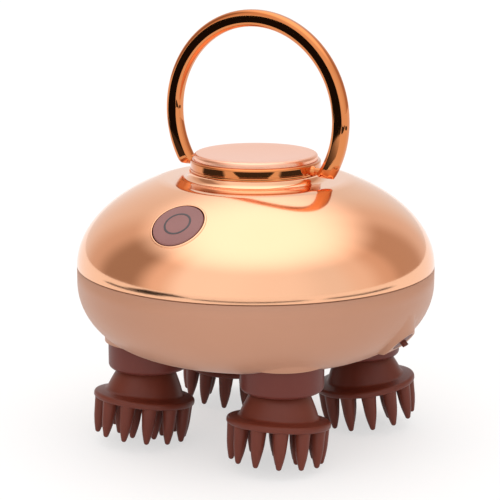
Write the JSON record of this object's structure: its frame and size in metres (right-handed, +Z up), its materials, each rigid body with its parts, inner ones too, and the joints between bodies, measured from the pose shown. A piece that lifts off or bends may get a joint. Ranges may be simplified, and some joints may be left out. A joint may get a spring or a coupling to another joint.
{
  "type": "pet head massager",
  "caption": "Hand-held electric scalp massager with a domed body, folding ring handle, push button and tilted claw heads that a gear train spins.",
  "frame": {"origin": "on the body's axis, at the height of the lowest claw tips, on which the object stands", "axes": "+Z up along the body's axis, -Y towards the side with the button, +X towards the charging inlet"},
  "size_m": [0.116, 0.116, 0.1393],
  "materials": {
    "rose_shell": "satin rose-gold coat over moulded plastic",
    "tan_shell": "satin tan plastic",
    "polished_gold": "polished rose-gold plating",
    "satin_cap": "satin rose-gold disc",
    "mauve_plastic": "satin mauve-brown plastic",
    "claw_silicone": "satin chocolate silicone",
    "sleeve_plastic": "satin mauve-brown plastic",
    "mark_grey": "dark grey print",
    "gear_white": "natural acetal",
    "steel": "turned steel",
    "black_plastic": "black plastic",
    "bush_bronze": "sintered bronze",
    "board_green": "solder-masked board",
    "seal_rubber": "soft black rubber",
    "cell_wrap": "shrink wrap",
    "chassis_grey": "grey glass-filled plastic"
  },
  "bodies": {
    "housing": {"upper_shell": "rose_shell", "lower_shell": "tan_shell", "seam_gasket": "seal_rubber", "handle_collar": "polished_gold", "collar_screws": "steel", "top_cap": "satin_cap", "handle_pivot_pins": "polished_gold", "button_bezel": "polished_gold", "tact_switch": "black_plastic", "switch_board": "board_green", "shaft_seals": "seal_rubber", "lower_bushes": "bush_bronze", "upper_bushes": "bush_bronze", "gear_plate": "chassis_grey", "motor_gearbox": "steel", "motor_can": "steel", "motor_screws": "steel", "plate_screws": "steel", "battery_cell": "cell_wrap", "battery_cradle": "black_plastic", "charge_socket": "black_plastic", "charge_board": "board_green", "board_screws": "steel", "claw_sleeve_front_right": "sleeve_plastic", "claw_sleeve_front_left": "sleeve_plastic", "claw_sleeve_rear_left": "sleeve_plastic", "claw_sleeve_rear_right": "sleeve_plastic"},
    "handle": {"ring_handle": "polished_gold"},
    "button": {"power_button": "mauve_plastic", "button_ring_mark": "mark_grey", "switch_plunger": "black_plastic"},
    "port_plug": {"charge_port_plug": "claw_silicone"},
    "drive": {"drive_gear": "gear_white", "motor_output_shaft": "steel"},
    "head_front_right": {"claw_head_front_right": "claw_silicone", "claw_hub_front_right": "black_plastic", "spindle_front_right": "steel", "head_gear_front_right": "gear_white"},
    "head_front_left": {"claw_head_front_left": "claw_silicone", "claw_hub_front_left": "black_plastic", "spindle_front_left": "steel", "head_gear_front_left": "gear_white"},
    "head_rear_left": {"claw_head_rear_left": "claw_silicone", "claw_hub_rear_left": "black_plastic", "spindle_rear_left": "steel", "head_gear_rear_left": "gear_white"},
    "head_rear_right": {"claw_head_rear_right": "claw_silicone", "claw_hub_rear_right": "black_plastic", "spindle_rear_right": "steel", "head_gear_rear_right": "gear_white"}
  },
  "joints": [
    {"name": "handle_fold", "type": "hinge", "parent": "housing", "child": "handle", "pos_m": [0, 0, 0.0894], "axis": [1, 0, 0], "range_deg": [-97, 97]},
    {"name": "button_press", "type": "slide", "parent": "housing", "child": "button", "axis": [0, 0.5844, -0.8114], "range_m": [0, 0.0006], "stiffness_N_per_m": 2000},
    {"name": "plug_pull", "type": "slide", "parent": "housing", "child": "port_plug", "axis": [0.7071, 0, -0.7071], "range_m": [0, 0.008]},
    {"name": "drive_spin", "type": "hinge", "parent": "housing", "child": "drive", "pos_m": [0, 0, 0.045], "axis": [0, 0, 1], "continuous": true},
    {"name": "front_right_spin", "type": "hinge", "parent": "housing", "child": "head_front_right", "pos_m": [0.0251, -0.0251, 0.03], "axis": [0, 0, 1], "continuous": true},
    {"name": "front_left_spin", "type": "hinge", "parent": "housing", "child": "head_front_left", "pos_m": [-0.0251, -0.0251, 0.03], "axis": [0, 0, 1], "continuous": true},
    {"name": "rear_left_spin", "type": "hinge", "parent": "housing", "child": "head_rear_left", "pos_m": [-0.0251, 0.0251, 0.03], "axis": [0, 0, 1], "continuous": true},
    {"name": "rear_right_spin", "type": "hinge", "parent": "housing", "child": "head_rear_right", "pos_m": [0.0251, 0.0251, 0.03], "axis": [0, 0, 1], "continuous": true}
  ],
  "couplings": [
    {"joint": "front_right_spin", "follows": "drive_spin", "ratio": -1.9583},
    {"joint": "front_left_spin", "follows": "drive_spin", "ratio": -1.9583},
    {"joint": "rear_left_spin", "follows": "drive_spin", "ratio": -1.9583},
    {"joint": "rear_right_spin", "follows": "drive_spin", "ratio": -1.9583}
  ]
}
